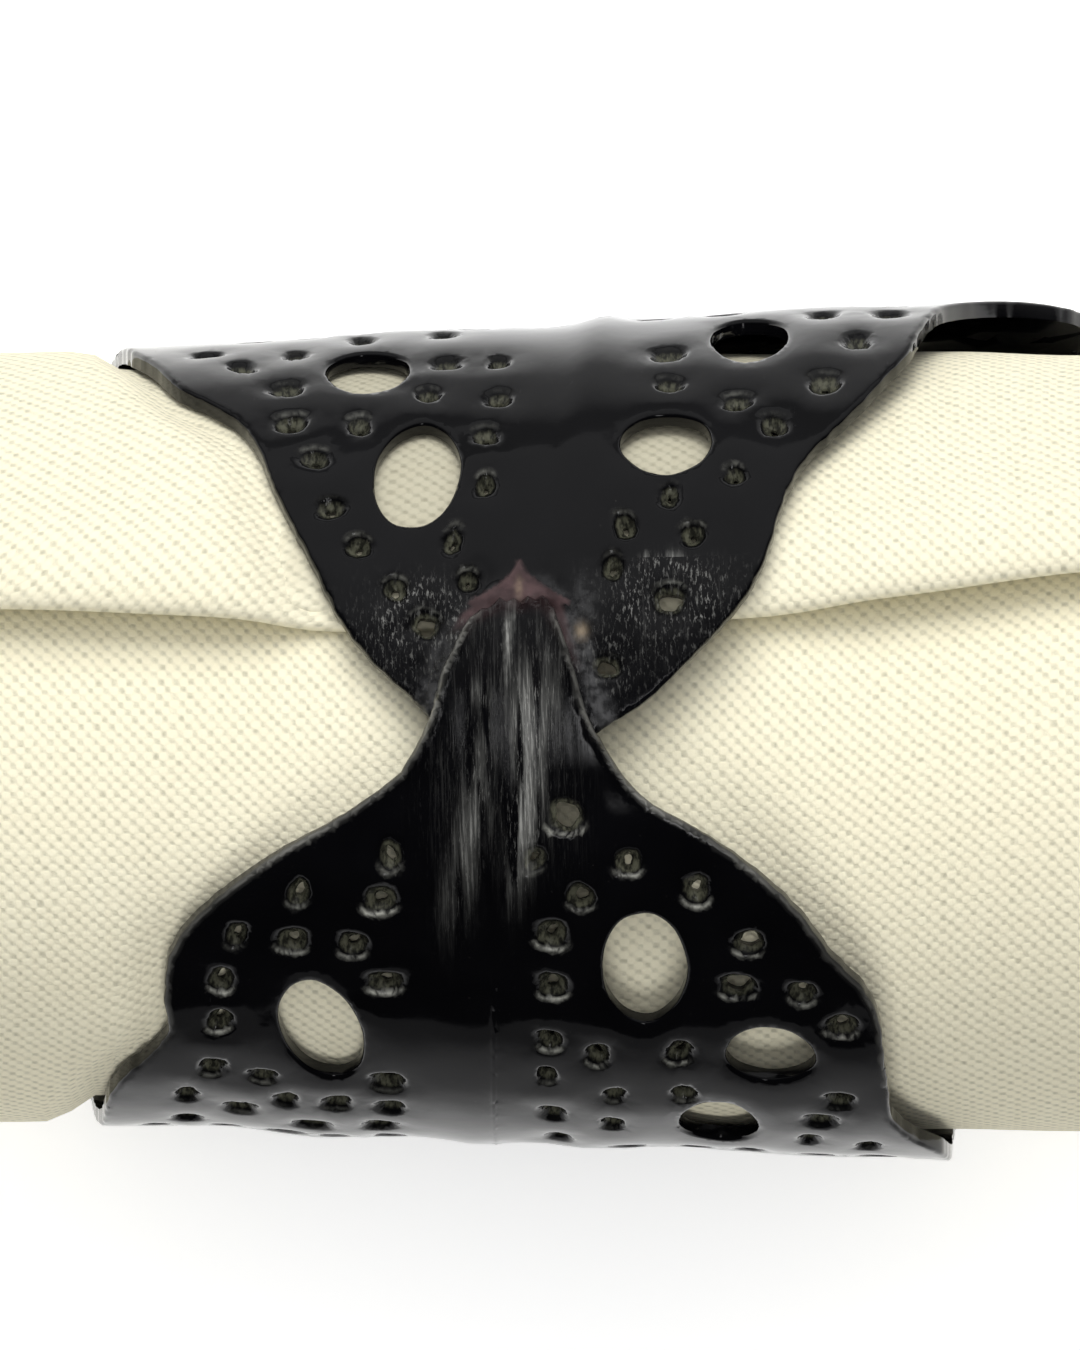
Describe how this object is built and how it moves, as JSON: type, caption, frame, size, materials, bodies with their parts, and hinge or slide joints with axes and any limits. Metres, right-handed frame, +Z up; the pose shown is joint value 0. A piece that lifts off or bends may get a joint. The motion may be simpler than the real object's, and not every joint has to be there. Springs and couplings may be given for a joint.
{
  "type": "napkin in a ring",
  "caption": "Cream plain-weave napkin, folded and rolled, held by a black lacquered metal ring shaped as a pierced leaf wound round the roll.",
  "frame": {"origin": "middle of the footprint, on the surface the roll lies on", "axes": "+X along the roll towards the ring's wider edge, +Z up through the ring's brazed lap, +Y towards the side where the napkin's free fold comes from"},
  "size_m": [0.254, 0.0518, 0.0506],
  "materials": {
    "napkin_cloth": "undyed cream plain-weave cotton and linen, matt, slightly slubby",
    "ring_lacquer": "near-black gloss lacquer over sheet metal, brushed streaks at the lap, a little copper braze showing"
  },
  "bodies": {
    "root": {"napkin": "napkin_cloth", "ring": "ring_lacquer"}
  },
  "joints": []
}
